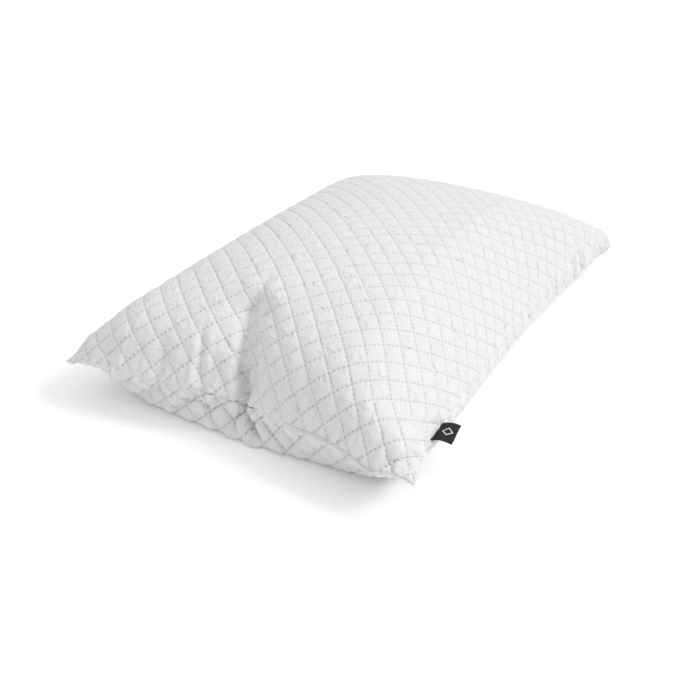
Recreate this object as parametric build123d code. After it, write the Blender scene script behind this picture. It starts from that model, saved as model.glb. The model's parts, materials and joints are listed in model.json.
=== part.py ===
from build123d import *
import math
import os

# Bed pillow with a quilted cover, lying flat. Millimetres, +Z up, X along the length.

# Cushion as filled
HALF_LENGTH = 344.0
HALF_WIDTH = 234.0
END_DRAW_IN = 28.0
SIDE_DRAW_IN = 33.0
EAR_POWER = 8
SEAM_HEIGHT = 46.0
LOFT = 160.0
BOWL_DEPTH = 64.0
TOP_FULLNESS = 1.0
BOWL_FULLNESS = 0.85
STATIONS_LONG = 26
STATIONS_WIDE = 20
SURFACE_TOLERANCE = 0.005

# Quilted cover, from the outside in
FACE_THICKNESS = 0.5
WADDING_THICKNESS = 3.6
BACKING_THICKNESS = 0.4
LAYER_GAP = 0.1
FILL_GAP = 0.5
FILL_JOIN = 0.3
FILL_CORNER_CUT = 80.0  # loose fibre doesn't reach into the thin corner tips

# Seam all round
SEAM_GAP = 1.0
SEAM_THREAD_INSET = 2.2
SEAM_THREAD_WIDTH = 0.6
SEAM_THREAD_HEIGHT = 0.3

# Topstitched closing of the filling opening, on one short side
CLOSING_Y = -123.0
CLOSING_LENGTH = 122.0
LIP_WIDTH = 4.0
LIP_THICKNESS = 0.8
LIP_ROOT_INSET = 0.3
STITCH_ROW_OFFSET = 2.4
STITCH_PITCH = 3.5
STITCH_THREAD = 0.4
NEEDLE_LEG = 0.3
NEEDLE_HOLE = 0.8

# Brand label, a folded loop of woven tape
LABEL_X = -250.0
LABEL_LENGTH = 33.0
LABEL_REACH = 20.0
LABEL_PLY = 0.35
LABEL_PLY_GAP = 0.3
LABEL_ROOT_GAP = 1.8
TAIL_REACH = 4.4
TAIL_THICKNESS = 0.4
TAIL_CLEARANCE = 0.05
MOTIF_SIZE = 9.0
MOTIF_LINE = 1.4
MOTIF_THICKNESS = 0.12

# Care label, a folded loop of satin tape that hangs down
CARE_Y = 120.0
CARE_WIDTH = 32.0
CARE_LENGTH = 36.0
CARE_PLY = 0.25


def half_length_at(across):
    return HALF_LENGTH - END_DRAW_IN * (1 - abs(across) ** EAR_POWER)


def half_width_at(along):
    return HALF_WIDTH - SIDE_DRAW_IN * (1 - abs(along) ** EAR_POWER)


def plan_point(along, across, inset):
    x = (half_length_at(across) - inset) * along
    y = (half_width_at(along) - inset) * across
    return x, y


def outline(inset, z):
    """Closed seam line, drawn in by inset, at height z."""
    count = STATIONS_LONG
    steps = [math.sin(math.pi * (i / count - 0.5)) for i in range(count + 1)]
    steps[0], steps[-1] = -1.0, 1.0
    sides = [
        [plan_point(t, -1, inset) for t in steps],
        [plan_point(1, t, inset) for t in steps],
        [plan_point(-t, 1, inset) for t in steps],
        [plan_point(-1, -t, inset) for t in steps],
    ]
    edges = [Spline(*[(x, y, z) for x, y in side]) for side in sides]
    return Wire(edges)


def skin(inset, base, reach, fullness):
    """Domed face over the seam line. A negative reach makes a bowl."""
    rows = []
    for i in range(STATIONS_LONG + 1):
        angle_x = math.pi * (i / STATIONS_LONG - 0.5)
        along = math.sin(angle_x)
        row = []
        for j in range(STATIONS_WIDE + 1):
            angle_y = math.pi * (j / STATIONS_WIDE - 0.5)
            x, y = plan_point(along, math.sin(angle_y), inset)
            rise = max(math.cos(angle_x) * math.cos(angle_y), 0.0) ** fullness
            row.append(Vector(x, y, base + reach * rise))
        rows.append(row)
    return Face.make_surface_from_array_of_points(rows, tol=SURFACE_TOLERANCE)


def half_cushion(inset, base, reach, fullness):
    """Solid between a domed face and the level plane through its edge."""
    dome = skin(inset, base, reach, fullness)
    flat = Face(Wire(dome.edges()))
    return Solid(Shell([dome, flat]))


def top_half(inset):
    base = SEAM_HEIGHT + SEAM_GAP / 2
    return half_cushion(inset, base, LOFT - base - inset, TOP_FULLNESS)


def bottom_half(inset):
    base = SEAM_HEIGHT - SEAM_GAP / 2
    bowl = half_cushion(inset, base, inset - BOWL_DEPTH, BOWL_FULLNESS)
    keep = Box(3 * HALF_LENGTH, 3 * HALF_WIDTH, SEAM_HEIGHT)
    return bowl & Pos(0, 0, inset + SEAM_HEIGHT / 2) * keep


def layer(half, inset, thickness):
    """One cover layer: the cushion half at inset less the same half further in."""
    return half(inset) - half(inset + thickness)


def band(outer_inset, inner_inset, z, thickness):
    """Level band between two seam lines."""
    ring = Face(outline(outer_inset, z), [outline(inner_inset, z)])
    return extrude(ring, amount=thickness, dir=(0, 0, 1))


def end_line_x(y, inset):
    across = y / half_width_at(1)
    return -(half_length_at(across) - inset)


def stitch_points(z):
    count = int(CLOSING_LENGTH / STITCH_PITCH) - 1
    first = CLOSING_Y - STITCH_PITCH * count / 2
    places = [first + STITCH_PITCH * i for i in range(count + 1)]
    return [(end_line_x(y, -STITCH_ROW_OFFSET), y, z) for y in places]


def needle_legs(z, height, width):
    leg = Cylinder(width / 2, height)
    return [Pos(*point) * leg for point in stitch_points(z)]


def closing_lip(z):
    strip = band(-LIP_WIDTH, LIP_ROOT_INSET, z, LIP_THICKNESS)
    window = Pos(-HALF_LENGTH, CLOSING_Y, z) * Box(HALF_LENGTH, CLOSING_LENGTH, 4 * LIP_THICKNESS)
    lip = strip & window
    for hole in needle_legs(z + LIP_THICKNESS / 2, 2 * LIP_THICKNESS, NEEDLE_HOLE):
        lip -= hole
    return lip


def top_face_fabric():
    return layer(top_half, 0, FACE_THICKNESS) + closing_lip(SEAM_HEIGHT + SEAM_GAP / 2)


def bottom_face_fabric():
    z = SEAM_HEIGHT - SEAM_GAP / 2 - LIP_THICKNESS
    return layer(bottom_half, 0, FACE_THICKNESS) + closing_lip(z)


def fibre_fill(inset):
    base = SEAM_HEIGHT - SEAM_GAP / 2 - FILL_JOIN
    crown = half_cushion(inset + FILL_GAP, base, LOFT - base - inset - FILL_GAP, TOP_FULLNESS)
    block = Box(2 * HALF_LENGTH, 2 * HALF_WIDTH, 3 * LOFT)
    return (crown + bottom_half(inset)) & chamfer(block.edges().filter_by(Axis.Z), FILL_CORNER_CUT)


def seam_thread():
    inner = SEAM_THREAD_INSET + SEAM_THREAD_WIDTH
    z = SEAM_HEIGHT - SEAM_GAP / 2 + LAYER_GAP
    return band(SEAM_THREAD_INSET, inner, z, SEAM_THREAD_HEIGHT)


def thread_row(z):
    """Line of thread lying along the needle holes."""
    outer = -STITCH_ROW_OFFSET - STITCH_THREAD / 2
    strip = band(outer, outer + STITCH_THREAD, z, STITCH_THREAD)
    row = Box(HALF_LENGTH, CLOSING_LENGTH - STITCH_PITCH, 4 * STITCH_THREAD)
    return strip & Pos(-HALF_LENGTH, CLOSING_Y, z) * row


def closing_seam_thread():
    rise = SEAM_GAP / 2 + LIP_THICKNESS
    thread = thread_row(SEAM_HEIGHT + rise) + thread_row(SEAM_HEIGHT - rise - STITCH_THREAD)
    for leg in needle_legs(SEAM_HEIGHT, 2 * rise + STITCH_THREAD, NEEDLE_LEG):
        thread += leg
    return thread


def tape_loop(width, reach, ply, gap):
    """Tape folded back on itself, its fold out along -Y, its root on the X axis."""
    half = ply + gap / 2
    outer = Rectangle(reach - half, 2 * half, align=(Align.MAX, Align.CENTER))
    outer += Pos(half - reach, 0) * Circle(half)
    inner = Rectangle(reach - half, gap, align=(Align.MAX, Align.CENTER))
    inner += Pos(half - reach, 0) * Circle(gap / 2)
    profile = Plane(origin=(-width / 2, 0, 0), x_dir=(0, 1, 0), z_dir=(1, 0, 0)) * (outer - inner)
    return extrude(profile, amount=width, dir=(1, 0, 0))


def label_axis_y():
    return -half_width_at(LABEL_X / HALF_LENGTH) - LABEL_ROOT_GAP


def label_turn():
    """Angle in plan between the long seam at the label and the X axis, in degrees."""
    along = LABEL_X / HALF_LENGTH
    slope = SIDE_DRAW_IN * EAR_POWER * abs(along) ** (EAR_POWER - 1) / HALF_LENGTH
    return math.degrees(math.atan(slope))


def at_label(shape):
    return Pos(LABEL_X, label_axis_y(), 0) * (Rot(0, 0, label_turn()) * shape)


def brand_label():
    loop = tape_loop(LABEL_LENGTH, LABEL_REACH, LABEL_PLY, LABEL_PLY_GAP)
    return at_label(Pos(0, 0, SEAM_HEIGHT) * loop)


def brand_label_motif():
    outline_square = Rectangle(MOTIF_SIZE, MOTIF_SIZE)
    hollow = Rectangle(MOTIF_SIZE - 2 * MOTIF_LINE, MOTIF_SIZE - 2 * MOTIF_LINE)
    diamond = Rot(0, 0, 45) * (outline_square - hollow)
    z = SEAM_HEIGHT + LABEL_PLY + LABEL_PLY_GAP / 2
    return at_label(Pos(0, -LABEL_REACH / 2, z) * extrude(diamond, amount=MOTIF_THICKNESS))


def tail(width):
    """Sewn-in end of a label, centred on its own seam point, reaching in along +Y."""
    block = Box(width, TAIL_REACH, TAIL_THICKNESS, align=(Align.CENTER, Align.MIN, Align.MIN))
    return Pos(0, 0, SEAM_HEIGHT + TAIL_CLEARANCE) * block


def brand_label_tail():
    return at_label(Pos(0, LABEL_ROOT_GAP, 0) * tail(LABEL_LENGTH))


def care_axis_x():
    return half_length_at(CARE_Y / HALF_WIDTH) + LABEL_ROOT_GAP


def care_label():
    loop = tape_loop(CARE_WIDTH, CARE_LENGTH, CARE_PLY, LABEL_PLY_GAP)
    return Pos(care_axis_x(), CARE_Y, SEAM_HEIGHT) * (Rot(0, 90, 0) * (Rot(0, 0, 90) * loop))


def care_label_tail():
    place = Pos(care_axis_x() - LABEL_ROOT_GAP, CARE_Y, 0)
    return place * (Rot(0, 0, 90) * tail(CARE_WIDTH))


def cover_nodes():
    wadding = FACE_THICKNESS + LAYER_GAP
    backing = wadding + WADDING_THICKNESS + LAYER_GAP
    fill = backing + BACKING_THICKNESS + FILL_GAP
    return {
        "top_face_fabric": top_face_fabric(),
        "top_wadding": layer(top_half, wadding, WADDING_THICKNESS),
        "top_backing": layer(top_half, backing, BACKING_THICKNESS),
        "bottom_face_fabric": bottom_face_fabric(),
        "bottom_wadding": layer(bottom_half, wadding, WADDING_THICKNESS),
        "bottom_backing": layer(bottom_half, backing, BACKING_THICKNESS),
        "fibre_fill": fibre_fill(fill),
        "seam_thread": seam_thread(),
        "closing_seam_thread": closing_seam_thread(),
    }


def label_nodes():
    return {
        "brand_label": brand_label(),
        "brand_label_motif": brand_label_motif(),
        "brand_label_tail": brand_label_tail(),
        "care_label": care_label(),
        "care_label_tail": care_label_tail(),
    }


def main():
    os.makedirs("parts", exist_ok=True)
    nodes = cover_nodes() | label_nodes()
    for name, shape in nodes.items():
        export_step(shape, f"parts/{name}.step")


main()
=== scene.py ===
import json
import math

import bpy
import numpy as np
from mathutils import Matrix, Vector


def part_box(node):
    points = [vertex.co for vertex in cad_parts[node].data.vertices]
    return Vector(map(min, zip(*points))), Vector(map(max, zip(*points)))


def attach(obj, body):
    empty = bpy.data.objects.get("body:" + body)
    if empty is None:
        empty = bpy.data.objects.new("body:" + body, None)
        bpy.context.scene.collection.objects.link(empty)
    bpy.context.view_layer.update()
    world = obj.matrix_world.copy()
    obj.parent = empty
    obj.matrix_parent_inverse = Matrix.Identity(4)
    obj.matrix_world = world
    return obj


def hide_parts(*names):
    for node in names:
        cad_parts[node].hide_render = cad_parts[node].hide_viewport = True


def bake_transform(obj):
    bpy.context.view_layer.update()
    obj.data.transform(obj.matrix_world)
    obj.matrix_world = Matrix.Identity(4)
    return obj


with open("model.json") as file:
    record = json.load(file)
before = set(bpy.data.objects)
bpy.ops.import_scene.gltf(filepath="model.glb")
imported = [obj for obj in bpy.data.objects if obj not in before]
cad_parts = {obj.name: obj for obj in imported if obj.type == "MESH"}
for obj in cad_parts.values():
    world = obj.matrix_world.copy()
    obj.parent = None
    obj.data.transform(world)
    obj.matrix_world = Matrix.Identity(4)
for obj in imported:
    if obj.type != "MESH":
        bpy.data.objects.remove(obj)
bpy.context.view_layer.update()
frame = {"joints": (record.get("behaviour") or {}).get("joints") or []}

MM = 0.001

# The cover: two flat panels, quilted in a diamond lattice whose lines meet the seams every STEP
STEP = 0.0304
WIDTH, LENGTH = 16.5 * STEP, 23 * STEP
LINE_SPACING = STEP / math.sqrt(2)
LATTICE_PHASE = (0.875, 0.625)
WELDS_PER_SIDE = 4

# Where each label leaves the seam: point on the seam, way along it and way out
SEAM_TO_HINGE = 1.8 * MM


def label_place(joint, towards):
    hinge = next(j for j in frame["joints"] if j["name"] == joint)
    along = Vector(hinge["axis"]).normalized() * towards
    out = along.cross(Vector((0, 0, 1)))
    return Vector(hinge["pos_m"]) - out * SEAM_TO_HINGE, along, out


BRAND_PLACE = label_place("brand_label_bend", -1)
CARE_PLACE = label_place("care_label_swing", -1)

# ---------------------------------------------------------------- cloth simulation

# Cubic metres, then loads as a share of the filling's push
FILL_VOLUME = 0.0335
FILL_WEIGHT = 0.15
COVER_WEIGHT = 0.045
DRAG = 0.92
# Cells of the coarsest grid, which is halved twice
COARSE = (33, 46)
PUCKER = 0.985
# Gathers along each seam: place from the -X or -Y end, width and strength
GATHERS = {
    "near_end": [
        (0.030, 0.010, 0.2), (0.120, 0.010, 0.2), (0.248, 0.024, 0.6), (0.304, 0.012, 0.5),
        (0.356, 0.010, 0.4), (0.430, 0.010, 0.3), (0.475, 0.010, 0.2),
    ],
    "far_end": [
        (0.03, 0.012, 0.4), (0.09, 0.012, 0.5), (0.17, 0.014, 0.5), (0.29, 0.012, 0.4),
        (0.35, 0.014, 0.5), (0.47, 0.010, 0.2),
    ],
    "near_side": [
        (0.03, 0.010, 0.2), (0.075, 0.008, 0.3), (0.135, 0.009, 0.3), (0.215, 0.010, 0.3),
        (0.31, 0.010, 0.35), (0.40, 0.010, 0.3), (0.49, 0.012, 0.4), (0.57, 0.012, 0.4),
        (0.645, 0.012, 0.5), (0.68, 0.010, 0.3),
    ],
    "far_side": [
        (0.03, 0.010, 0.2), (0.10, 0.012, 0.4), (0.19, 0.010, 0.4), (0.27, 0.012, 0.3),
        (0.38, 0.012, 0.4), (0.46, 0.010, 0.3), (0.55, 0.012, 0.4), (0.62, 0.010, 0.3),
        (0.67, 0.010, 0.2),
    ],
}
# Hollows in the fill at the near end: place across, width, reach, depth
HOLLOWS = [(0.248, 0.030, 0.080, 0.9), (0.304, 0.016, 0.050, 0.7), (0.356, 0.014, 0.040, 0.5)]
# Pinched folds in the near end: y at the floor, y per height, radius, then height and x of the fold's line
FOLDS = [
    (-0.016, 0.40, 0.007, ((0.016, -0.297), (0.045, -0.280), (0.085, -0.258), (0.120, -0.222))),
    (0.047, 0.12, 0.005, ((0.02, -0.312), (0.05, -0.299), (0.075, -0.286), (0.095, -0.272))),
    (0.104, 0.10, 0.005, ((0.04, -0.315), (0.06, -0.302), (0.075, -0.292), (0.09, -0.282))),
]
# How the filled pillow was left lying: which corner was pulled, and how far
PULLED_CORNERS = [
    ((0, 0), (-0.0103, 0.0098, 0.0)),
    ((-1, 0), (0.0037, 0.0074, 0.0045)),
    ((0, -1), (0.0145, -0.0149, 0.0100)),
]
PULL_RADIUS = 0.075
# The corners: how far the panels close on each other, and the size of the flat triangle
CORNER_CLOSE = 0.85
CORNER_REACH = 0.055
CORNER_FLAT = 0.055
# How much the near end and the two stretches of the near side were pushed in
END_PUSH = 0.0099
SIDE_PUSH = (0.0141, 0.007)
SIDE_FLATTEN = 0.183
END_LIFT = 0.11


def fullness(side, s):
    """Share of its flat length that a seam keeps at each point."""
    f = np.full_like(s, PUCKER)
    for at, width, strength in GATHERS[side]:
        f = f - strength * np.exp(-(((s - at) / width) ** 2))
    return np.maximum(f, 0.12)


def seam_lengths(rows, columns):
    u = (np.arange(rows + 1) + 0.5) * WIDTH / rows
    v = (np.arange(columns + 1) + 0.5) * LENGTH / columns
    across = np.ones((rows + 1, columns + 1))
    along = np.ones((rows + 1, columns + 1))
    across[:, 0] = fullness("near_end", u)
    across[:, -1] = fullness("far_end", u)
    along[0, :] = fullness("near_side", v)
    along[-1, :] = fullness("far_side", v)
    return across, along


def link(p, di, dj, rest, push, pull, scale=None):
    """Moves points di, dj cells apart towards their rest length, in sets that share no point."""
    n, m = p.shape[1:3]
    aj, bj = (slice(0, m - dj), slice(dj, m)) if dj >= 0 else (slice(-dj, m), slice(0, m + dj))
    period = di if di else dj
    for c in range(2 * period):
        if di:
            ai, bi = slice(c, n - di, 2 * period), slice(c + di, n, 2 * period)
        else:
            ai = bi = slice(0, n)
            aj, bj = slice(c, m - dj, 2 * period), slice(c + dj, m, 2 * period)
        a, b = p[:, ai, aj], p[:, bi, bj]
        d = b - a
        length = np.sqrt(np.einsum("...k,...k->...", d, d)) + 1e-9
        r = rest if scale is None else rest * scale[ai, aj]
        d *= (np.where(length > r, 0.5 * pull, 0.5 * push) * (1 - r / length))[..., None]
        a += d
        b -= d


def normals(p):
    n = np.cross(np.gradient(p, axis=2), np.gradient(p, axis=1))
    n[1] *= -1
    return n / (np.linalg.norm(n, axis=-1, keepdims=True) + 1e-12)


def volume(p):
    total = 0
    for sign, q in ((1, p[0]), (-1, p[1])):
        a, b, c, d = q[:-1, :-1], q[1:, :-1], q[1:, 1:], q[:-1, 1:]
        for t in ((a, c, b), (a, d, c)):
            total += sign * (np.cross(t[1] - t[0], t[2] - t[0])[..., 2] * (t[0] + t[1] + t[2])[..., 2] / 6).sum()
    return total


def sew(p):
    for e in (np.s_[:, 0], np.s_[:, -1], np.s_[:, :, 0], np.s_[:, :, -1]):
        p[e] = p[e].mean(0)


def finer(p):
    """Halves every interval with cubic interpolation."""
    for axis in (1, 2):
        q = np.moveaxis(p, axis, 0)
        e = np.concatenate([2 * q[:1] - q[1:2], q, 2 * q[-1:] - q[-2:-1]])
        out = np.empty((2 * len(q) - 1,) + q.shape[1:])
        out[::2] = q
        out[1::2] = (9 * (e[1:-2] + e[2:-1]) - e[:-3] - e[3:]) / 16
        p = np.moveaxis(out, 0, axis)
    return np.ascontiguousarray(p)


def flat_grid(rows, columns):
    i, j = np.mgrid[0 : rows + 1, 0 : columns + 1]
    return i * WIDTH / rows, j * LENGTH / columns


def flat_of(p):
    return flat_grid(p.shape[1] - 1, p.shape[2] - 1)


def fold(p, progress, cell):
    """Presses each fold's blade into the near end, from outside, as far as progress says."""
    near = p[:, :, : p.shape[2] // 3]
    for floor_y, lean, radius, line in FOLDS:
        x, y, z = near[..., 0], near[..., 1], near[..., 2]
        heights, edges = zip(*line)
        edge = np.interp(z, heights, edges) - 0.06 * (1 - progress)
        edge = edge - 0.5 * np.clip(z - heights[-1], 0, None) - 0.5 * np.clip(heights[0] - z, 0, None)
        r = max(radius, 0.6 * cell)
        side = y - floor_y - lean * z
        beyond = edge - x
        reach = np.hypot(side, np.minimum(beyond, 0)) + 1e-9
        press = np.clip(r - reach, 0, None)
        x += np.where(beyond < 0, press * -beyond / reach, 0)
        y += press * side / reach


def relax(p, steps, strength, rounds, bend, wide, fold_from):
    """Fills the cover for a number of steps, holding cloth lengths, floor and seams."""
    rows, columns = p.shape[1] - 1, p.shape[2] - 1
    hu, hv = WIDTH / rows, LENGTH / columns
    u, v = flat_grid(rows, columns)
    to_u, to_v = np.minimum(u, WIDTH - u), np.minimum(v, LENGTH - v)
    fill = 1 - 0.85 * np.exp(-(to_u**2 + to_v**2) / 0.06**2)
    for at, width, reach, depth in HOLLOWS:
        fill *= 1 - depth * np.exp(-(((u - at) / width) ** 2) - (v / reach) ** 2)
    across, along = seam_lengths(rows, columns)
    noise = np.random.default_rng(7).standard_normal(p.shape[:3]) * 0.02 * hu * (to_u * to_v > 0)
    p = p + normals(p) * noise[..., None]
    sew(p)
    speed = np.zeros_like(p)
    for step in range(steps):
        lack = np.clip(8 * (FILL_VOLUME - volume(p)) / FILL_VOLUME, -0.5, 1)
        head = FILL_WEIGHT * np.clip(1 - p[..., 2] / 0.15, 0, 1)
        push = normals(p) * (strength * fill * (lack + head))[..., None]
        push[..., 2] -= COVER_WEIGHT * strength
        speed = (speed + push) * DRAG
        old = p.copy()
        p += speed
        for _ in range(rounds):
            link(p, 1, 0, hu, 0.8, 1, across)
            link(p, 0, 1, hv, 0.8, 1, along)
            link(p, 1, 1, math.hypot(hu, hv), 0.1, 0.4)
            link(p, 1, -1, math.hypot(hu, hv), 0.1, 0.4)
            link(p, 2, 0, 2 * hu, bend, 0)
            link(p, 0, 2, 2 * hv, bend, 0)
            if wide:
                link(p, 4, 0, 4 * hu, wide, 0)
                link(p, 0, 4, 4 * hv, wide, 0)
            fold(p, fold_from + (1 - fold_from) * min(1, 1.5 * step / steps), max(hu, hv))
            sew(p)
            low = p[..., 2] < 0
            p[..., 2][low] = 0
        speed = p - old
        speed[..., :2][low] *= 0.5
    return p


def smooth(t):
    t = np.clip(t, 0, 1)
    return t * t * (3 - 2 * t)


def laid_down(p):
    """Pulls corners and tucks the near side and end, as handling did."""
    q = p.copy()
    for (i, j), move in PULLED_CORNERS:
        gap = ((p - p[0, i, j]) ** 2).sum(-1)
        q += np.exp(-gap / PULL_RADIUS**2)[..., None] * np.array(move)
    x, y, z = q[..., 0].copy(), q[..., 1].copy(), q[..., 2].copy()
    side = smooth((-y - 0.10) / 0.115)
    first = smooth((x + 0.335) / 0.07) * (1 - smooth((x - 0.05) / 0.2))
    second = smooth((x - 0.05) / 0.2) * smooth((0.335 - x) / 0.05)
    end = smooth((-x - 0.20) / 0.12) * smooth((0.225 - np.abs(y)) / 0.08)
    q[..., 0] = x - END_PUSH * end
    q[..., 1] = y + (SIDE_PUSH[0] * first + SIDE_PUSH[1] * second) * side
    q[..., 2] = z * (1 - SIDE_FLATTEN * side * first) * (1 + END_LIFT * end)
    return q


def flat_cornered(p):
    """Closes the two panels together towards each corner, where hardly any fill reaches."""
    u, v = flat_of(p)
    middle = p.mean(0)
    pressed = middle.copy()
    hu, hv = WIDTH / (p.shape[1] - 1), LENGTH / (p.shape[2] - 1)
    i, j = round(CORNER_FLAT / hu), round(CORNER_FLAT / hv)
    for row, step_row, to_u in ((0, i, u), (-1, -1 - i, WIDTH - u)):
        for column, step_column, to_v in ((0, j, v), (-1, -1 - j, LENGTH - v)):
            tip, on_end, on_side = p[0, row, column], p[0, step_row, column], p[0, row, step_column]
            a, b = to_u / (i * hu), to_v / (j * hv)
            triangle = tip + a[..., None] * (on_end - tip) + b[..., None] * (on_side - tip)
            near = smooth((1.35 - a - b) / 0.9)[..., None]
            pressed += near * (triangle - middle)
    gap = np.hypot(np.minimum(u, WIDTH - u), np.minimum(v, LENGTH - v))
    close = CORNER_CLOSE * np.exp(-((gap / CORNER_REACH) ** 2))[None, ..., None]
    return pressed + (p - middle) * (1 - close)


def met(p, seam, place, radius):
    """Draws the cover so that this seam passes through a label's place."""
    target = np.array(place[0])
    edge = p[seam]
    off = (edge - target) @ np.array(place[1])
    k = np.abs(off).argmin()
    move = target - edge[k]
    gap = ((p - edge[k]) ** 2).sum(-1)
    return p + np.exp(-gap / radius**2)[..., None] * move


def simulated_cover():
    u, v = flat_grid(*COARSE)
    bump = 0.01 * np.sin(np.pi * u / WIDTH) * np.sin(np.pi * v / LENGTH)
    p = np.stack([np.stack([v - LENGTH / 2, u - WIDTH / 2, 0.02 + s * bump], -1) for s in (1, -1)])
    p = relax(p, 400, 0.0006, 3, 0.05, 0, 0)
    p = relax(finer(p), 250, 0.0003, 4, 0.08, 0, 0.8)
    p = relax(finer(p), 120, 0.00012, 5, 0.15, 0.03, 1)
    p[..., 0] -= p[0, [0, 0, -1, -1], [0, -1, 0, -1], 0].mean()
    p = flat_cornered(laid_down(p))
    p = met(p, np.s_[0, 0], BRAND_PLACE, 0.05)
    return met(p, np.s_[0, :, -1], CARE_PLACE, 0.06)


# ---------------------------------------------------------------- creases and wrinkles

# Creases left by handling: width, then (across, along, depth) from the seam inwards on the top and the bottom panel
CREASES = [
    (0.0060, [(0.2508, 0, 0.009), (0.266, 0.0266, 0.009), (0.2698, 0.0456, 0.0070),
         (0.2774, 0.0684, 0.0045), (0.2812, 0.0988, 0.003), (0.2774, 0.133, 0.0022), (0.285, 0.1748, 0)],
     [(0.2508, 0, 0.009), (0.247, 0.0076, 0.011), (0.2394, 0.0228, 0.010),
         (0.2242, 0.0342, 0.006), (0.2204, 0.0456, 0)]),
    (0.0045, [(0.3078, 0, 0.004), (0.3154, 0.0228, 0.005), (0.3192, 0.0456, 0.0035),
         (0.3268, 0.0722, 0)],
     [(0.3078, 0, 0.004), (0.304, 0.0038, 0.006), (0.3002, 0.0152, 0.006), (0.2926, 0.0304, 0)]),
    (0.0070, [(0.4332, 0, 0.0015), (0.4332, 0.0152, 0.002), (0.437, 0.0304, 0.001),
         (0.44, 0.05, 0)],
     [(0.4332, 0, 0.0015), (0.43, 0.02, 0)]),
    (0.0070, [(0.3572, 0, 0.002), (0.3572, 0.0152, 0.0025), (0.361, 0.0342, 0.002),
         (0.3648, 0.057, 0)],
     [(0.3572, 0, 0.002), (0.3648, 0.0152, 0.0025), (0.3572, 0.0266, 0.0015), (0.35, 0.04, 0)]),
    (0.0050, [(0.1216, 0, 0.0008), (0.152, 0.0266, 0.0012), (0.1976, 0.0798, 0)],
     [(0.1216, 0, 0.0008), (0.13, 0.02, 0.002), (0.118, 0.036, 0)]),
    (0.0050, [(0.0830, 0, 0.0005), (0.09, 0.03, 0.0008), (0.10, 0.06, 0)],
     [(0.0830, 0, 0.0005), (0.088, 0.02, 0.002), (0.08, 0.032, 0)]),
    (0.0040, [(0.030, 0.2242, 0), (0.057, 0.2242, 0.002), (0.0836, 0.2242, 0)], []),
]
SHOULDER = 0.35
# The near seam stands out as a ridge over the drawn-in lower panel
RIDGE = 0.0055
RIDGE_WIDTH = 0.012
UNDERCUT = 0.0045
UNDERCUT_AT = 0.018
# Where the seam sags beside the near corner: place, width, reach and drop
SAG = (0.062, 0.030, 0.030, 0.0085)
# The lower panel is slack at the near end, so its quilting puffs and puckers more
SLACK = 1.9
SLACK_REACH = 0.06
# Fine gathering wrinkles along the seams: wavelength along the seam, share
WRINKLES = ((0.0067, 0.5), (0.0093, 0.8), (0.0141, 1.0))
WRINKLE_HEIGHT = (0.0008, 0.0015)
WRINKLE_REACH = 0.026


def crease_depth(u, v, width, path, shoulder):
    """Depth at each point, deepest on the path and raised a little beside it."""
    if not path:
        return np.zeros_like(u)
    best = np.full_like(u, np.inf)
    depth = np.zeros_like(u)
    for (ua, va, da), (ub, vb, db) in zip(path, path[1:]):
        length = (ub - ua) ** 2 + (vb - va) ** 2
        t = np.clip(((u - ua) * (ub - ua) + (v - va) * (vb - va)) / length, 0, 1)
        gap = np.hypot(u - ua - t * (ub - ua), v - va - t * (vb - va))
        nearer = gap < best
        best = np.where(nearer, gap, best)
        depth = np.where(nearer, da + t * (db - da), depth)
    return depth * (np.exp(-((best / width) ** 1.5)) - shoulder * np.exp(-(((best - 2.1 * width) / width) ** 2)))


def creased(p, wider=1, deeper=1, shoulder=SHOULDER):
    """Presses in the creases and raises the near seam over the lower panel."""
    u, v = flat_of(p)
    inward = -normals(p)
    at_seam = np.exp(-v / 0.010)[None, ..., None]
    inward = inward * (1 - at_seam) + np.array((1.0, 0, 0)) * at_seam
    inward /= np.linalg.norm(inward, axis=-1, keepdims=True)
    q = p.copy()
    run = smooth((u - 0.015) / 0.04) * smooth((WIDTH - 0.015 - u) / 0.04)
    q[..., 0] -= RIDGE * run * np.exp(-((v / RIDGE_WIDTH) ** 2))
    place, width, reach, drop = SAG
    q[..., 2] -= drop * np.exp(-(((u - place) / width) ** 2) - (v / reach) ** 2) * smooth((p[..., 2] - 0.01) / 0.03)
    q[1, ..., 0] += UNDERCUT * run * (v / UNDERCUT_AT) * np.exp(1 - v / UNDERCUT_AT) * smooth((p[1, ..., 2] - 0.004) / 0.02)
    for width, *paths in CREASES:
        for k, path in enumerate(paths):
            q[k] += inward[k] * deeper * crease_depth(u, v, wider * width, path, shoulder)[..., None]
    return q


def wrinkled(p):
    """Gathers the cloth in fine wrinkles that fade away from the seams."""
    u, v = flat_of(p)
    height = np.zeros_like(u)
    rng = np.random.default_rng(11)
    for s, d in ((u, v), (u, LENGTH - v), (v, u), (v, WIDTH - u)):
        strip = np.zeros_like(u)
        for wavelength, share in WRINKLES:
            phase, drift, patch = rng.uniform(0, 2 * math.pi, 3)
            sway = 1.6 * np.sin(d / 0.021 + drift) + 1.1 * np.sin(s / 0.037 + patch)
            present = 0.5 + 0.5 * np.sin(s / 0.019 + patch) * np.sin(s / 0.031 + drift)
            strip += share * present * np.sin(2 * math.pi * s / wavelength + sway + phase)
        height += strip * np.exp(-d / WRINKLE_REACH) * smooth(d / 0.006)
    more = 1 + 1.2 * np.exp(-(((u - 0.23) / 0.07) ** 2) - (v / 0.09) ** 2)
    return p + normals(p) * np.array(WRINKLE_HEIGHT)[:, None, None, None] * (height * more)[None, ..., None]


# ---------------------------------------------------------------- quilting

PUFF = 1.1 * MM
WELD_DEPTH = 0.7 * MM
WELD_WIDTH = 1.2 * MM
WELD_LENGTH = 1.7 * MM
SEAM_TUCK = 3.0 * MM
FLOOR_GAP = 0.2 * MM


def lattice(u, v):
    a = (u - v) / STEP - LATTICE_PHASE[0]
    b = (u + v) / STEP - LATTICE_PHASE[1]
    return a, b


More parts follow.
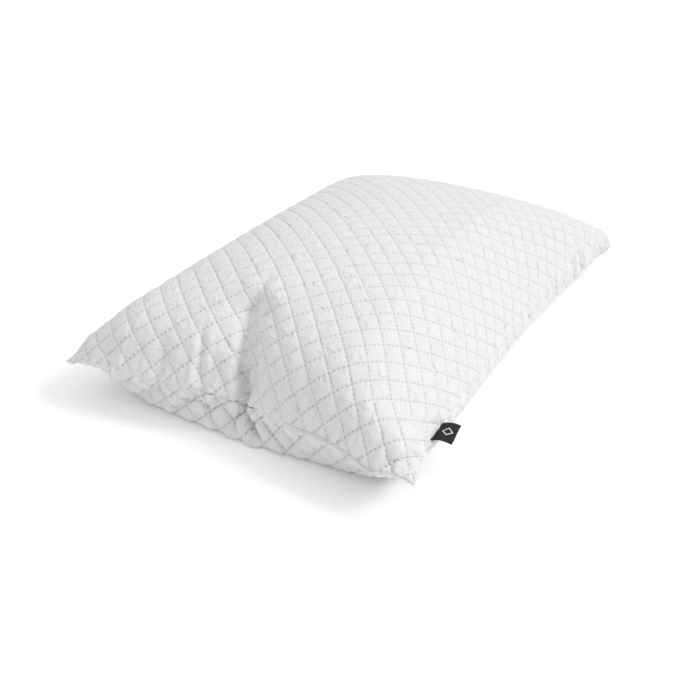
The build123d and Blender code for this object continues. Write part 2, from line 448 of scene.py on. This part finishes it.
def quilt_height(u, v):
    a, b = lattice(u, v)
    off_a = np.abs(a - np.round(a)) * LINE_SPACING
    off_b = np.abs(b - np.round(b)) * LINE_SPACING
    rise = lambda d: np.sin(np.pi / 2 * np.clip(d / (LINE_SPACING / 2), 0, 1)) ** 0.6
    height = PUFF * rise(off_a) * rise(off_b)
    pitch = LINE_SPACING / WELDS_PER_SIDE
    for off, other in ((off_a, b), (off_b, a)):
        run = np.abs(other * WELDS_PER_SIDE - np.round(other * WELDS_PER_SIDE)) * pitch
        height = height - WELD_DEPTH * np.exp(-((off / WELD_WIDTH) ** 2) - (run / WELD_LENGTH) ** 2)
    return height


def quilted(p):
    """The finished surface of both panels, with the flat position of each point."""
    p = wrinkled(creased(finer(p)))
    u, v = flat_of(p)
    n = normals(p)
    to_seam = np.minimum(np.minimum(u, WIDTH - u), np.minimum(v, LENGTH - v))
    ease = np.clip(to_seam / SEAM_TUCK, 0, 1)
    slack = 1 + np.array((0.25, 1.0))[:, None, None] * SLACK * np.exp(-((v / SLACK_REACH) ** 2))
    height = (quilt_height(u, v) * slack + 1.0 * MM) * np.sin(np.pi / 2 * ease)
    p = p + n * height[..., None]
    low = p[..., 2] < FLOOR_GAP
    p[..., 2][low] = FLOOR_GAP
    return p, u, v


# ---------------------------------------------------------------- mesh building

def grid_faces(rows, columns, flip):
    index = np.arange((rows + 1) * (columns + 1)).reshape(rows + 1, columns + 1)
    a, b, c, d = index[:-1, :-1], index[1:, :-1], index[1:, 1:], index[:-1, 1:]
    order = (a, b, c, d) if flip else (a, d, c, b)
    return np.stack(order, -1).reshape(-1, 4)


def mesh_object(name, verts, faces, material, flat=None):
    mesh = bpy.data.meshes.new(name)
    faces = faces.tolist() if isinstance(faces, np.ndarray) else faces
    mesh.from_pydata(np.asarray(verts).reshape(-1, 3).tolist(), [], faces)
    mesh.shade_smooth()
    if flat is not None:
        uv = mesh.uv_layers.new(name="flat")
        loops = np.empty(len(mesh.loops), int)
        mesh.loops.foreach_get("vertex_index", loops)
        uv.data.foreach_set("uv", np.ascontiguousarray(flat.reshape(-1, 2)[loops], np.float32).ravel())
    mesh.materials.append(material)
    obj = bpy.data.objects.new(name, mesh)
    bpy.context.collection.objects.link(obj)
    return obj


# ---------------------------------------------------------------- materials

class Nodes:
    """Short hand for building a material's node tree."""

    def __init__(self, name):
        self.material = bpy.data.materials.new(name)
        self.material.use_nodes = True
        self.tree = self.material.node_tree
        self.shader = self.tree.nodes["Principled BSDF"]

    def add(self, kind, **settings):
        node = self.tree.nodes.new(kind)
        for key, value in settings.items():
            if hasattr(node, key) and key not in node.inputs:
                setattr(node, key, value)
            else:
                self.feed(node.inputs[key], value)
        return node

    def feed(self, socket, value):
        if isinstance(value, bpy.types.NodeSocket):
            self.tree.links.new(value, socket)
        else:
            socket.default_value = value

    def math(self, operation, *values):
        node = self.tree.nodes.new("ShaderNodeMath")
        node.operation = operation
        for socket, value in zip(node.inputs, values):
            self.feed(socket, value)
        return node.outputs[0]

    def mix(self, factor, a, b):
        node = self.tree.nodes.new("ShaderNodeMix")
        node.data_type = "RGBA"
        for socket, value in zip((node.inputs[0], node.inputs[6], node.inputs[7]), (factor, a, b)):
            self.feed(socket, value)
        return node.outputs[2]

    def bump(self, height, distance, strength=1.0, normal=None):
        node = self.tree.nodes.new("ShaderNodeBump")
        node.inputs["Strength"].default_value = strength
        node.inputs["Distance"].default_value = distance
        self.feed(node.inputs["Height"], height)
        if normal is not None:
            self.feed(node.inputs["Normal"], normal)
        return node.outputs[0]


def microfibre():
    n = Nodes("brushed_microfibre")
    uv = n.add("ShaderNodeUVMap", uv_map="flat").outputs[0]
    split = n.add("ShaderNodeSeparateXYZ", Vector=uv)
    u, v = split.outputs[0], split.outputs[1]
    a = n.math("SUBTRACT", n.math("DIVIDE", n.math("SUBTRACT", u, v), STEP), LATTICE_PHASE[0])
    b = n.math("SUBTRACT", n.math("DIVIDE", n.math("ADD", u, v), STEP), LATTICE_PHASE[1])
    spots = groove = None
    for line, run in ((a, b), (b, a)):
        off = n.math("MULTIPLY", n.math("SUBTRACT", line, n.math("ROUND", line)), LINE_SPACING)
        far = n.math("MULTIPLY", run, float(WELDS_PER_SIDE))
        far = n.math("MULTIPLY", n.math("SUBTRACT", far, n.math("ROUND", far)), LINE_SPACING / WELDS_PER_SIDE)
        dent = n.math("SUBTRACT", 1.0, n.math("SMOOTH_MIN", 1.0, n.math("DIVIDE", n.math("ABSOLUTE", off), 1.7 * MM), 0.4))
        groove = dent if groove is None else n.math("MAXIMUM", groove, dent)
        off, far = n.math("DIVIDE", off, 1.1 * MM), n.math("DIVIDE", far, 1.9 * MM)
        distance = n.math("SQRT", n.math("ADD", n.math("MULTIPLY", off, off), n.math("MULTIPLY", far, far)))
        spot = n.math("SUBTRACT", 1.0, n.math("SMOOTH_MIN", 1.0, distance, 0.3))
        spot = n.math("MAXIMUM", spot, 0.0)
        spots = spot if spots is None else n.math("MAXIMUM", spots, spot)
    fibre = n.add("ShaderNodeTexNoise", Vector=uv, Scale=1400.0, Detail=3.0, Roughness=0.6).outputs[0]
    nap = n.add("ShaderNodeTexNoise", Vector=uv, Scale=160.0, Detail=4.0, Roughness=0.6).outputs[0]
    crumple = n.add(
        "ShaderNodeTexNoise", noise_type="RIDGED_MULTIFRACTAL", normalize=True,
        Vector=uv, Scale=75.0, Detail=2.5, Roughness=0.5, Distortion=0.8,
    ).outputs[0]
    white = n.mix(nap, (0.76, 0.765, 0.77, 1), (0.82, 0.825, 0.83, 1))
    # Painted shade: the weld dots are painted darker grey to stand for the shade inside the pressed pits, which the
    # mesh is too coarse to cast
    colour = n.mix(n.math("MULTIPLY", spots, 0.5), white, (0.5, 0.505, 0.51, 1))
    normal = n.bump(fibre, 0.06 * MM, 0.5)
    normal = n.bump(crumple, 3.0 * MM, 0.8, normal)
    normal = n.bump(n.math("MULTIPLY", groove, -1.0), 0.4 * MM, 0.7, normal)
    normal = n.bump(n.math("MULTIPLY", spots, -1.0), 0.8 * MM, 0.7, normal)
    n.feed(n.shader.inputs["Base Color"], colour)
    n.feed(n.shader.inputs["Roughness"], n.math("SUBTRACT", 0.95, n.math("MULTIPLY", spots, 0.25)))
    n.feed(n.shader.inputs["Normal"], normal)
    n.shader.inputs["Specular IOR Level"].default_value = 0.15
    n.shader.inputs["Sheen Weight"].default_value = 0.15
    n.shader.inputs["Sheen Roughness"].default_value = 0.5
    return n.material


def finished(n, colour, roughness, normal, specular=0.2):
    n.feed(n.shader.inputs["Base Color"], colour)
    n.feed(n.shader.inputs["Roughness"], roughness)
    n.feed(n.shader.inputs["Normal"], normal)
    n.shader.inputs["Specular IOR Level"].default_value = specular
    return n.material


def wadding():
    n = Nodes("polyester_wadding")
    uv = n.add("ShaderNodeUVMap", uv_map="flat").outputs[0]
    tuft = n.add("ShaderNodeTexNoise", Vector=uv, Scale=90.0, Detail=6.0, Roughness=0.7, Distortion=2.0).outputs[0]
    hair = n.add("ShaderNodeTexNoise", Vector=uv, Scale=900.0, Detail=3.0, Roughness=0.7, Distortion=1.5).outputs[0]
    colour = n.mix(tuft, (0.84, 0.84, 0.82, 1), (0.93, 0.93, 0.92, 1))
    normal = n.bump(hair, 0.3 * MM, 0.7, n.bump(tuft, 1.5 * MM, 0.7))
    return finished(n, colour, 0.98, normal, 0.1)


def nonwoven():
    n = Nodes("nonwoven_backing")
    uv = n.add("ShaderNodeUVMap", uv_map="flat").outputs[0]
    bond = n.add("ShaderNodeTexVoronoi", Vector=uv, Scale=420.0, Randomness=0.15).outputs["Distance"]
    fibre = n.add("ShaderNodeTexNoise", Vector=uv, Scale=1100.0, Detail=4.0, Roughness=0.65, Distortion=2.5).outputs[0]
    spot = n.math("LESS_THAN", bond, 0.28)
    colour = n.mix(spot, n.mix(fibre, (0.78, 0.78, 0.76, 1), (0.88, 0.88, 0.86, 1)), (0.72, 0.72, 0.7, 1))
    normal = n.bump(n.math("MULTIPLY", spot, -1.0), 0.15 * MM, 0.6, n.bump(fibre, 0.1 * MM, 0.6))
    return finished(n, colour, 0.9, normal)


def loose_fibre():
    n = Nodes("hollow_fibre")
    place = n.add("ShaderNodeTexCoord").outputs["Object"]
    clump = n.add("ShaderNodeTexNoise", Vector=place, Scale=55.0, Detail=6.0, Roughness=0.7, Distortion=1.8).outputs[0]
    strand = n.add("ShaderNodeTexNoise", Vector=place, Scale=700.0, Detail=3.0, Roughness=0.75, Distortion=3.0).outputs[0]
    colour = n.mix(clump, (0.86, 0.86, 0.85, 1), (0.95, 0.95, 0.94, 1))
    normal = n.bump(strand, 0.3 * MM, 0.8, n.bump(clump, 4 * MM, 0.7))
    return finished(n, colour, 1.0, normal, 0.1)


def twisted_thread():
    n = Nodes("spun_thread")
    uv = n.add("ShaderNodeUVMap", uv_map="flat").outputs[0]
    split = n.add("ShaderNodeSeparateXYZ", Vector=uv)
    advance = n.math("MULTIPLY", split.outputs[0], 2 * math.pi / (0.9 * MM))
    turn = n.math("ADD", advance, n.math("MULTIPLY", split.outputs[1], 4 * math.pi))
    ply = n.math("MULTIPLY_ADD", n.math("SINE", turn), 0.5, 0.5)
    colour = n.mix(ply, (0.66, 0.66, 0.66, 1), (0.85, 0.85, 0.85, 1))
    return finished(n, colour, 0.7, n.bump(ply, 0.06 * MM, 0.8), 0.3)


def woven(name, warp, weft, pitch, roughness, rib=0.5, specular=0.25):
    """Plain weave: ribs both ways, over and under in turn."""
    n = Nodes(name)
    uv = n.add("ShaderNodeUVMap", uv_map="flat").outputs[0]
    split = n.add("ShaderNodeSeparateXYZ", Vector=uv)
    wave = lambda k: n.math("SINE", n.math("MULTIPLY", split.outputs[k], 2 * math.pi / pitch))
    over = n.math("MULTIPLY_ADD", n.math("MULTIPLY", wave(0), wave(1)), 0.5, 0.5)
    ribs = n.math("MULTIPLY_ADD", wave(0), 0.5, 0.5)
    height = n.math("ADD", n.math("MULTIPLY", over, 1 - rib), n.math("MULTIPLY", ribs, rib))
    wear = n.add("ShaderNodeTexNoise", Vector=uv, Scale=300.0, Detail=3.0).outputs[0]
    colour = n.mix(n.math("MULTIPLY", n.math("ADD", height, wear), 0.5), warp, weft)
    return finished(n, colour, roughness, n.bump(height, 0.5 * pitch, 0.5), specular)


# ---------------------------------------------------------------- lengths of tape and thread

def along_path(path):
    """Distance along a path, and its sideways direction within its plane."""
    path = np.asarray(path, float)
    step = np.gradient(path, axis=0)
    step /= np.linalg.norm(step, axis=1, keepdims=True)
    run = np.concatenate([[0], np.cumsum(np.linalg.norm(np.diff(path, axis=0), axis=1))])
    return run, np.stack([-step[:, 1], step[:, 0]], -1)


def place_points(place, width_at, out_up, wave):
    """Carries (out, up) points of a section into the row frame at each distance along the seam."""
    root, along, out = (np.array(v) for v in place)
    s = width_at[None, :]
    x, z = out_up[:, :1], out_up[:, 1:]
    lift_x, lift_z = wave(s, x, z)
    x, z = x + lift_x, z + lift_z
    return root + s[..., None] * along + x[..., None] * out + z[..., None] * np.array((0, 0, 1.0))


def folded_tape(name, place, centre, width, ply, gap, wave, material):
    """A tape folded in half over its end: centre is the loop's middle line as (out, up) points."""
    half = (ply + gap) / 2
    run, side = along_path(centre)
    centre = np.asarray(centre)
    tip, turn = centre[-1], side[-1]
    ahead = np.array((turn[1], -turn[0]))
    angles = np.linspace(-math.pi / 2, math.pi / 2, 9)[1:-1]
    bend = [tip + half * (ahead * math.cos(a) + turn * math.sin(a)) for a in angles]
    line = np.concatenate([centre - half * side, bend, (centre + half * side)[::-1]])
    run, side = along_path(line)
    section = np.concatenate([line + side * ply / 2, (line - side * ply / 2)[::-1]])
    run = np.concatenate([run, run[::-1]])
    s = np.linspace(-width / 2, width / 2, 31)
    points = place_points(place, s, section, wave)
    n, m = points.shape[:2]
    index = np.arange(n * m).reshape(n, m)
    nxt = np.roll(index, -1, 0)
    faces = np.stack([index[:, :-1], index[:, 1:], nxt[:, 1:], nxt[:, :-1]], -1).reshape(-1, 4)
    half_n = n // 2
    ends = []
    for k in range(half_n - 1):
        a, b, c, d = index[k], index[k + 1], index[n - 2 - k], index[n - 1 - k]
        ends += [(a[0], b[0], c[0], d[0]), (d[-1], c[-1], b[-1], a[-1])]
    flat = np.stack(np.broadcast_arrays(s[None, :], run[:, None]), -1)
    return mesh_object(name, points, faces.tolist() + ends, material, flat)


def diamond_patch(name, place, centre, reach_to, size, line_width, lift, wave, material):
    """An open diamond woven on the upper ply, centred reach_to from the seam."""
    run, side = along_path(centre)
    centre = np.asarray(centre)
    around = np.linspace(0, 4, 65)[:-1]
    corner = np.array([(1, 0), (0, 1), (-1, 0), (0, -1), (1, 0)], float)
    unit = np.stack([np.interp(around, range(5), corner[:, k]) for k in (0, 1)], -1)
    outer, inner = size / math.sqrt(2), (size - 2 * line_width) / math.sqrt(2)
    rings = []
    for radius, height in ((outer, 0), (outer, 1), (inner, 1), (inner, 0)):
        across, reach = (unit * radius).T
        reach = reach + reach_to
        at = np.stack([np.interp(reach, run, centre[:, k]) for k in (0, 1)], -1)
        up = np.stack([np.interp(reach, run, side[:, k]) for k in (0, 1)], -1)
        section = at + up * (lift[0] + height * (lift[1] - lift[0]))
        root, along, out = (np.array(v) for v in place)
        x, z = section[:, 0], section[:, 1]
        lx, lz = wave(across, x, z)
        place_up = (z + lz)[:, None] * np.array((0, 0, 1.0))
        rings.append(root + across[:, None] * along + (x + lx)[:, None] * out + place_up)
    points = np.stack(rings)
    index = np.arange(4 * 64).reshape(4, 64)
    turned = np.roll(index, -1, 1)
    pairs = [(k, (k + 1) % 4) for k in range(4)]
    faces = [(index[k, j], turned[k, j], turned[n, j], index[n, j]) for k, n in pairs for j in range(64)]
    flat = np.stack(np.broadcast_arrays(np.array([0, 0.3, 1.7, 2.0])[:, None] * MM, around[None] * size), -1)
    return mesh_object(name, points, faces, material, flat)


def threads(name, lines, radius, material, sides=8):
    """One mesh of thread lying along each line of points, tapering shut at its ends."""
    verts, faces, flat = [], [], []
    around = np.arange(sides) * 2 * math.pi / sides
    for line in lines:
        line = np.asarray(line, float)
        step = np.gradient(line, axis=0)
        step /= np.linalg.norm(step, axis=1, keepdims=True) + 1e-12
        other = np.cross(step, (0.05, 0.03, 1.0))
        other /= np.linalg.norm(other, axis=1, keepdims=True)
        third = np.cross(step, other)
        run = np.concatenate([[0], np.cumsum(np.linalg.norm(np.diff(line, axis=0), axis=1))])
        r = radius * np.sqrt(np.clip(np.minimum(run, run[-1] - run) / radius, 0.12, 1))
        circle = np.cos(around)[None, :, None] * other[:, None] + np.sin(around)[None, :, None] * third[:, None]
        ring = line[:, None] + r[:, None, None] * circle
        start = sum(len(v) for v in verts)
        verts.append(ring.reshape(-1, 3))
        index = start + np.arange(len(line) * sides).reshape(-1, sides)
        turned = np.roll(index, -1, 1)
        faces += np.stack([index[:-1], turned[:-1], turned[1:], index[1:]], -1).reshape(-1, 4).tolist()
        faces += [index[0][::-1].tolist(), index[-1].tolist()]
        flat.append(np.stack(np.broadcast_arrays(run[:, None], around[None] / (2 * math.pi)), -1).reshape(-1, 2))
    return mesh_object(name, np.concatenate(verts), faces, material, np.concatenate(flat))


# ---------------------------------------------------------------- the sewn closing of the near end

CLOSING_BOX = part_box("closing_seam_thread")
LIP_REACH = 4.0 * MM
LIP_PLY = 0.8 * MM
LIP_FADE = 5.0 * MM
LIP_LIFT = 0.12 * MM
LIP_TILT = -0.3
STITCH_OUT = 2.4 * MM
STITCH_PITCH = 3.5 * MM
STITCH_LENGTH = 2.9 * MM
STITCH_RADIUS = 0.22 * MM


def seam_line(skin, seam):
    """Points on a seam, the way out of the cushion there, and the way up."""
    edge = skin[0][seam]
    along = np.gradient(edge, axis=0)
    kernel = np.hanning(21)
    kernel /= kernel.sum()
    along = np.stack([np.convolve(np.pad(along[:, k], 10, mode="edge"), kernel, "valid") for k in range(3)], -1)
    out = np.cross(along, (0, 0, 1.0))
    out *= np.sign((out * (edge - skin[0].mean((0, 1)))).sum())
    out /= np.linalg.norm(out, axis=1, keepdims=True)
    out[:, 2] += LIP_TILT
    out /= np.linalg.norm(out, axis=1, keepdims=True)
    up = np.cross(along, out)
    up /= np.linalg.norm(up, axis=1, keepdims=True)
    return edge, out, up * np.sign(up[:, 2].sum())


def resampled(line, spacing, *others):
    run = np.concatenate([[0], np.cumsum(np.linalg.norm(np.diff(line, axis=0), axis=1))])
    at = np.arange(0, run[-1], spacing)
    return at, *(np.stack([np.interp(at, run, q[:, k]) for k in range(3)], -1) for q in (line, *others))


def closing(skin):
    edge, out, up = seam_line(skin, np.s_[:, 0])
    low, high = CLOSING_BOX[0].y, CLOSING_BOX[1].y
    keep = (edge[:, 1] > low - LIP_FADE) & (edge[:, 1] < high + LIP_FADE)
    run, edge, out, up = resampled(edge[keep], 1.2 * MM, out[keep], up[keep])
    reach = np.clip(np.minimum(run, run[-1] - run) / LIP_FADE, 0.05, 1) ** 0.5
    return run, edge, out, up, reach


def lip(name, line, sign, material):
    """One cover edge, turned under and sewn flat: a strip folded along its outer edge."""
    run, edge, out, up, reach = line
    low, high = LIP_LIFT, LIP_LIFT + LIP_PLY
    middle, radius = (low + high) / 2, (high - low) / 2
    inset = -0.6 * MM
    section = [(x, low) for x in np.linspace(inset, LIP_REACH - radius, 7)]
    turn = np.linspace(0, math.pi, 7)[1:-1]
    section += [(LIP_REACH - radius + radius * math.sin(a), middle - radius * math.cos(a)) for a in turn]
    section += [(x, high) for x in np.linspace(LIP_REACH - radius, inset, 7)]
    section = np.array(section)
    ripple = 0.18 * MM * np.sin(run * 2 * math.pi / (7.3 * MM)) + 0.12 * MM * np.sin(run * 2 * math.pi / (4.1 * MM) + 1)
    x = np.where(section[:, :1] > 0, section[:, :1] * reach, section[:, :1])
    z = sign * section[:, 1:] * (0.5 + 0.5 * reach) + ripple * (section[:, :1] / LIP_REACH)
    points = edge + x[..., None] * out + z[..., None] * up
    n, m = points.shape[:2]
    around = np.concatenate([[0], np.cumsum(np.linalg.norm(np.diff(section, axis=0), axis=1))])
    flat = np.stack(np.broadcast_arrays(around[:, None], run[None, :]), -1)
    return mesh_object(name, points, grid_faces(n - 1, m - 1, sign > 0), material, flat)


def closing_stitches(name, line, material):
    run, edge, out, up, reach = line
    lines = []
    height = LIP_LIFT + LIP_PLY
    for start in np.arange(LIP_FADE, run[-1] - LIP_FADE - STITCH_LENGTH, STITCH_PITCH):
        at = start + np.linspace(0, STITCH_LENGTH, 7)
        base, o, u = (np.stack([np.interp(at, run, q[:, k]) for k in range(3)], -1) for q in (edge, out, up))
        dip = np.array([-0.75, -0.05, 0.1, 0.13, 0.1, -0.05, -0.75])[:, None] * MM
        for sign in (1, -1):
            lines.append(base + STITCH_OUT * o + sign * (height + dip) * u)
    return threads(name, lines, STITCH_RADIUS, material)


def seam_stitches(name, skin, material):
    """Lockstitches joining the two panels, just inside the seam all round."""
    lines = []
    for seam in (np.s_[0], np.s_[-1], np.s_[:, 0], np.s_[:, -1]):
        edge, out, up = seam_line(skin, seam)
        run, edge, out, up = resampled(edge[3:-3], 0.8 * MM, out[3:-3], up[3:-3])
        for k in range(0, len(run) - 5, 5):
            dip = np.array([-0.5, 0, 0.1, 0, -0.5])[:, None] * MM
            lines.append(edge[k : k + 5] - 1.1 * MM * out[k : k + 5] + dip * up[k : k + 5])
    return threads(name, lines, 0.2 * MM, material, 6)


# ---------------------------------------------------------------- inner layers

WADDING_DEPTH = 1.3 * MM
BACKING_DEPTH = 3.0 * MM
FILL_DEPTH = 3.8 * MM


def inset(p, depth):
    u, v = flat_of(p)
    to_seam = np.minimum(np.minimum(u, WIDTH - u), np.minimum(v, LENGTH - v))
    ease = np.clip(to_seam / 0.014, 0, 1)
    q = p - normals(p) * (depth * ease)[None, ..., None]
    return q[:, 1:-1, 1:-1], u[1:-1, 1:-1], v[1:-1, 1:-1]


def layer_sheet(name, p, k, depth, material):
    q, u, v = inset(p, depth)
    rows, columns = u.shape[0] - 1, u.shape[1] - 1
    layer = mesh_object(name, q[k], grid_faces(rows, columns, k == 1), material, np.stack([u, v], -1))
    return layer


def filling(name, p, material):
    q, u, v = inset(p, FILL_DEPTH)
    rows, columns = u.shape[0] - 1, u.shape[1] - 1
    count = (rows + 1) * (columns + 1)
    index = np.arange(count).reshape(rows + 1, columns + 1)
    rim = np.concatenate([index[0, :-1], index[:-1, -1], index[-1, :0:-1], index[:0:-1, 0]])
    turned = np.roll(rim, -1)
    sides = np.stack([rim, rim + count, turned + count, turned], -1)
    faces = np.concatenate([grid_faces(rows, columns, False), grid_faces(rows, columns, True) + count, sides])
    return mesh_object(name, q, faces, material, np.stack([u, v], -1)[None].repeat(2, 0))


# ---------------------------------------------------------------- build

def piece(obj, body, slot, *nodes):
    if body:
        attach(obj, body)
    if nodes:
        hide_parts(*nodes)
    return obj


cover = simulated_cover()
skin, flat_u, flat_v = quilted(cover)
# The inner layers follow wider, deeper creases, so that they stay inside the cover
inside = creased(cover, 1.9, 1.5, 0)
flat = np.stack([flat_u, flat_v], -1)
rows, columns = flat_u.shape[0] - 1, flat_u.shape[1] - 1
fabric = microfibre()
fill = piece(filling("fibre_filling", inside, loose_fibre()), "cover", "fill", "fibre_fill")
wadding_material, backing_material, thread = wadding(), nonwoven(), twisted_thread()
for k, name in enumerate(("top", "bottom")):
    panel = mesh_object(f"quilted_{name}_panel", skin[k], grid_faces(rows, columns, k == 1), fabric, flat)
    piece(panel, "cover", "face_fabric", f"{name}_face_fabric")
    layer = layer_sheet(f"{name}_wadding_layer", inside, k, WADDING_DEPTH, wadding_material)
    piece(layer, "cover", "wadding", f"{name}_wadding")
    layer = layer_sheet(f"{name}_backing_layer", inside, k, BACKING_DEPTH, backing_material)
    piece(layer, "cover", "backing", f"{name}_backing")

line = closing(skin)
for name, sign in (("top", 1), ("bottom", -1)):
    edge = piece(lip(f"closing_lip_{name}", line, sign, fabric), "cover", "face_fabric")
piece(closing_stitches("closing_stitches", line, thread), "cover", "sewing_thread", "closing_seam_thread")
piece(seam_stitches("seam_stitches", skin, thread), "cover", "sewing_thread", "seam_thread")

# Brand label
BRAND_WIDTH, BRAND_REACH, BRAND_PLY, BRAND_GAP, TAIL = 33 * MM, 21.8 * MM, 0.35 * MM, 0.3 * MM, 4.4 * MM


def brand_wave(s, x, z):
    out = np.clip(x / BRAND_REACH, 0, 1)
    lift = (2.0 * MM * s / BRAND_WIDTH + 0.9 * MM * np.sin(2 * math.pi * s / BRAND_WIDTH)) * smooth(out)
    droop = 2.6 * MM * np.sin(math.pi * out) + 1.5 * MM * out**2
    return np.zeros_like(s + x), lift + droop


brand_line = [(x, 0) for x in np.linspace(-TAIL, BRAND_REACH - 0.6 * MM, 28)]
black = woven("black_woven_tape", (0.012, 0.012, 0.014, 1), (0.03, 0.03, 0.033, 1), 0.55 * MM, 0.75)
pale = woven("pale_label_yarn", (0.55, 0.55, 0.55, 1), (0.85, 0.85, 0.85, 1), 0.5 * MM, 0.55, rib=0.8)
brand = folded_tape("brand_label_loop", BRAND_PLACE, brand_line, BRAND_WIDTH, BRAND_PLY, BRAND_GAP, brand_wave, black)
piece(brand, None, "label_tape", "brand_label", "brand_label_tail")
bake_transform(brand)
ply_top = (BRAND_PLY + BRAND_GAP) / 2 + BRAND_PLY / 2
motif = diamond_patch(
    "brand_label_diamond", BRAND_PLACE, brand_line, TAIL + 11.8 * MM, 9 * MM, 1.4 * MM,
    (ply_top - 0.05 * MM, ply_top + 0.1 * MM), brand_wave, pale,
)
piece(motif, "brand_label_flap", "label_yarn", "brand_label_motif")

# Care label, hanging from the far end
CARE_WIDTH, CARE_DROP, CARE_PLY, CARE_GAP = 32 * MM, 36 * MM, 0.25 * MM, 0.3 * MM


def care_wave(s, x, z):
    down = np.clip(-z / CARE_DROP, 0, 1)
    sway = 1.1 * MM * np.sin(2 * math.pi * s / CARE_WIDTH + 1.0) * down - 1.5 * MM * np.sin(math.pi * down)
    return sway, np.zeros_like(s + x)


turn = 1.2 * MM
care_line = [(x, 0) for x in np.linspace(-TAIL, SEAM_TO_HINGE - turn, 6)]
quarter = np.linspace(0, math.pi / 2, 7)[1:]
care_line += [(SEAM_TO_HINGE - turn + turn * math.sin(a), turn * (math.cos(a) - 1)) for a in quarter]
care_line += [(SEAM_TO_HINGE, -z) for z in np.linspace(turn, CARE_DROP - 0.6 * MM, 30)[1:]]
satin = woven("white_satin_tape", (0.8, 0.8, 0.8, 1), (0.9, 0.9, 0.9, 1), 0.4 * MM, 0.4, rib=0.9, specular=0.4)
care = folded_tape("care_label_loop", CARE_PLACE, care_line, CARE_WIDTH, CARE_PLY, CARE_GAP, care_wave, satin)
piece(care, None, "care_tape", "care_label", "care_label_tail")
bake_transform(care)

# ---------------------------------------------------------------- camera, floor and light

LENS, SENSOR = 47.01, 36
CAMERA_PLACE = (-0.987, -0.4917, 0.6013)
CAMERA_TURN = (-152.03, 30.16, 0.17)
# Brightness of the surroundings, the main light, and a light that only the floor receives
HORIZON, ZENITH = 0.18, 0.90
KEY_FROM, KEY_SPREAD, KEY = (0.45, -0.9, 0.85), 25, 1.3
FLOOR_SPREAD, FLOOR_LIGHT = 60, 0.5


def camera():
    data = bpy.data.cameras.new("camera")
    data.lens = LENS
    data.sensor_width = SENSOR
    obj = bpy.data.objects.new("camera", data)
    bpy.context.collection.objects.link(obj)
    azimuth, elevation, roll = (math.radians(a) for a in CAMERA_TURN)
    place = Vector(CAMERA_PLACE)
    level_part = math.cos(elevation)
    forward = -Vector((level_part * math.cos(azimuth), level_part * math.sin(azimuth), math.sin(elevation)))
    level = forward.cross(Vector((0, 0, 1))).normalized()
    right = math.cos(roll) * level + math.sin(roll) * level.cross(forward)
    up = right.cross(forward)
    obj.matrix_world = Matrix((
        (right.x, up.x, -forward.x, place.x),
        (right.y, up.y, -forward.y, place.y),
        (right.z, up.z, -forward.z, place.z),
        (0, 0, 0, 1),
    ))
    bpy.context.scene.camera = obj


def sun(name, towards, spread, strength):
    data = bpy.data.lights.new(name, "SUN")
    data.angle = math.radians(spread)
    data.energy = strength
    obj = bpy.data.objects.new(name, data)
    bpy.context.collection.objects.link(obj)
    obj.rotation_euler = (-Vector(towards)).to_track_quat("-Z", "Y").to_euler()
    return obj


def floor_paint():
    n = Nodes("studio_floor")
    place = n.add("ShaderNodeTexCoord").outputs["Object"]
    grain = n.add("ShaderNodeTexNoise", Vector=place, Scale=400.0, Detail=2.0).outputs[0]
    colour = n.mix(grain, (0.95, 0.95, 0.95, 1), (0.97, 0.97, 0.97, 1))
    return finished(n, colour, 0.95, n.bump(grain, 0.05 * MM, 0.2), 0.0)


def studio():
    bpy.ops.mesh.primitive_plane_add(size=12, location=(0, 0, 0))
    floor = bpy.context.object
    floor.name = "floor"
    floor.data.materials.append(floor_paint())
    world = bpy.data.worlds.new("studio")
    bpy.context.scene.world = world
    world.use_nodes = True
    tree = world.node_tree
    place = tree.nodes.new("ShaderNodeTexCoord")
    split = tree.nodes.new("ShaderNodeSeparateXYZ")
    ramp = tree.nodes.new("ShaderNodeMapRange")
    tree.links.new(place.outputs["Generated"], split.inputs[0])
    tree.links.new(split.outputs[2], ramp.inputs["Value"])
    for name, value in (("From Min", 0.0), ("From Max", 0.75), ("To Min", HORIZON), ("To Max", ZENITH)):
        ramp.inputs[name].default_value = value
    background = tree.nodes["Background"]
    background.inputs[0].default_value = (1, 1, 1, 1)
    tree.links.new(ramp.outputs[0], background.inputs[1])
    sun("key", KEY_FROM, KEY_SPREAD, KEY)
    only_floor = bpy.data.collections.new("floor_only")
    only_floor.objects.link(floor)
    backdrop = sun("backdrop", (0, 0, 1), FLOOR_SPREAD, FLOOR_LIGHT)
    backdrop.light_linking.receiver_collection = only_floor
    backdrop.light_linking.blocker_collection = only_floor
    bpy.context.scene.view_settings.view_transform = "Standard"


camera()
studio()
